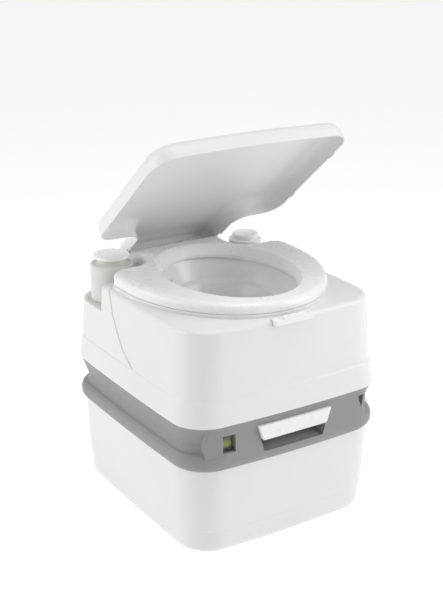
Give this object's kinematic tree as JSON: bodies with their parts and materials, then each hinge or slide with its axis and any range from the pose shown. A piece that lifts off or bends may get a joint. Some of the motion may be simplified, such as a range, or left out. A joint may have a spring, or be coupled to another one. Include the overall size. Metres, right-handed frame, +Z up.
{
  "type": "cassette toilet",
  "caption": "Portable camping toilet in two stacking tanks: waste tank with sliding valve and swivel spout below; flush tank with bowl, seat, hinged lid, piston pump and filler above.",
  "frame": {"origin": "centre of the footprint on the floor", "axes": "+Z up; the front, with the valve handle and lid catch, faces -Y; +X is to the right seen from the front"},
  "size_m": [0.382, 0.428, 0.6478],
  "materials": {
    "white_shell": "satin gloss white",
    "grey_band": "fine satin mid grey",
    "white_trim": "satin gloss white",
    "bowl_white": "gloss off-white",
    "inner_white": "natural polypropylene",
    "dark_plastic": "matte dark grey",
    "lime": "lime green",
    "clear": "clear pane",
    "seal_rubber": "matte black rubber",
    "soft_pad": "soft white rubber",
    "steel": "zinc-plated",
    "hose": "translucent silicone",
    "pump_cream": "satin white with a slight cream tint"
  },
  "bodies": {
    "lower": {"waste_tank": "white_shell", "tank_collar": "grey_band", "valve_base": "inner_white", "valve_cover": "inner_white", "valve_seal": "seal_rubber", "valve_screws": "steel", "indicator_housing": "dark_plastic", "indicator_lens": "clear", "indicator_pin": "steel", "vent_bush": "dark_plastic", "vent_spring": "steel", "spout_socket": "inner_white", "spout_ring": "seal_rubber"},
    "valve": {"valve_blade": "inner_white", "valve_handle": "white_trim", "blade_rivets": "inner_white"},
    "float": {"float_arm": "inner_white", "level_float": "inner_white", "indicator_drum": "lime"},
    "vent": {"vent_button": "grey_band"},
    "spout": {"spout_elbow": "white_trim"},
    "spout_cap_body": {"spout_cap": "grey_band", "spout_gasket": "seal_rubber"},
    "upper": {"flush_tank": "white_shell", "tank_well": "inner_white", "bowl": "bowl_white", "outlet_ring": "inner_white", "ring_screws": "steel", "flush_nozzle": "white_trim", "flush_hose": "hose", "pump_body": "pump_cream", "pump_ring": "soft_pad", "foot_valve": "inner_white", "hinge_pins": "white_trim", "latch_spring": "steel"},
    "pump": {"pump_knob": "pump_cream", "pump_cap": "white_trim", "pump_rod": "inner_white", "pump_piston": "inner_white", "piston_seal": "seal_rubber"},
    "ball": {"foot_valve_ball": "seal_rubber"},
    "filler": {"fill_cap": "white_trim", "fill_gasket": "seal_rubber"},
    "seat_body": {"seat": "white_trim", "seat_pads": "soft_pad"},
    "lid_body": {"lid": "white_shell", "lid_pads": "soft_pad"},
    "catch": {"lid_latch": "white_trim"},
    "lock": {"tank_lock": "grey_band"}
  },
  "joints": [
    {"name": "upper_lift_off", "type": "slide", "parent": "lower", "child": "upper", "axis": [0, 0, 1], "range_m": [0, 0.12]},
    {"name": "valve_slide", "type": "slide", "parent": "lower", "child": "valve", "axis": [0, -1, 0], "range_m": [0, 0.108]},
    {"name": "level_float_hinge", "type": "hinge", "parent": "lower", "child": "float", "pos_m": [-0.12, -0.188, 0.1915], "axis": [1, 0, 0], "range_deg": [0, 22]},
    {"name": "vent_press", "type": "slide", "parent": "lower", "child": "vent", "axis": [0, 0, -1], "range_m": [0, 0.004], "stiffness_N_per_m": 300, "springref_m": -0.003, "deforming": ["vent_spring"]},
    {"name": "spout_swivel", "type": "hinge", "parent": "lower", "child": "spout", "pos_m": [-0.12, 0.165, 0.1854], "axis": [0, 0, 1], "range_deg": [0, 90]},
    {"name": "spout_cap_off", "type": "slide", "parent": "spout", "child": "spout_cap_body", "axis": [1, 0, 0], "range_m": [0, 0.03]},
    {"name": "pump_stroke", "type": "slide", "parent": "upper", "child": "pump", "axis": [0, 0, 1], "range_m": [0, 0.034]},
    {"name": "foot_valve_lift", "type": "slide", "parent": "upper", "child": "ball", "axis": [0, 0, 1], "range_m": [0, 0.005]},
    {"name": "fill_cap_off", "type": "slide", "parent": "upper", "child": "filler", "axis": [0, 0, 1], "range_m": [0, 0.05]},
    {"name": "seat_hinge", "type": "hinge", "parent": "upper", "child": "seat_body", "pos_m": [0, 0.188, 0.39], "axis": [-1, 0, 0], "range_deg": [0, 100]},
    {"name": "lid_hinge", "type": "hinge", "parent": "seat_body", "child": "lid_body", "pos_m": [0, 0.188, 0.39], "axis": [1, 0, 0], "range_deg": [-62, 40]},
    {"name": "catch_press", "type": "slide", "parent": "upper", "child": "catch", "axis": [0, -1, 0], "range_m": [0, 0.0015], "stiffness_N_per_m": 400, "springref_m": -0.002},
    {"name": "tank_lock_slide", "type": "slide", "parent": "upper", "child": "lock", "axis": [1, 0, 0], "range_m": [0, 0.022]}
  ]
}
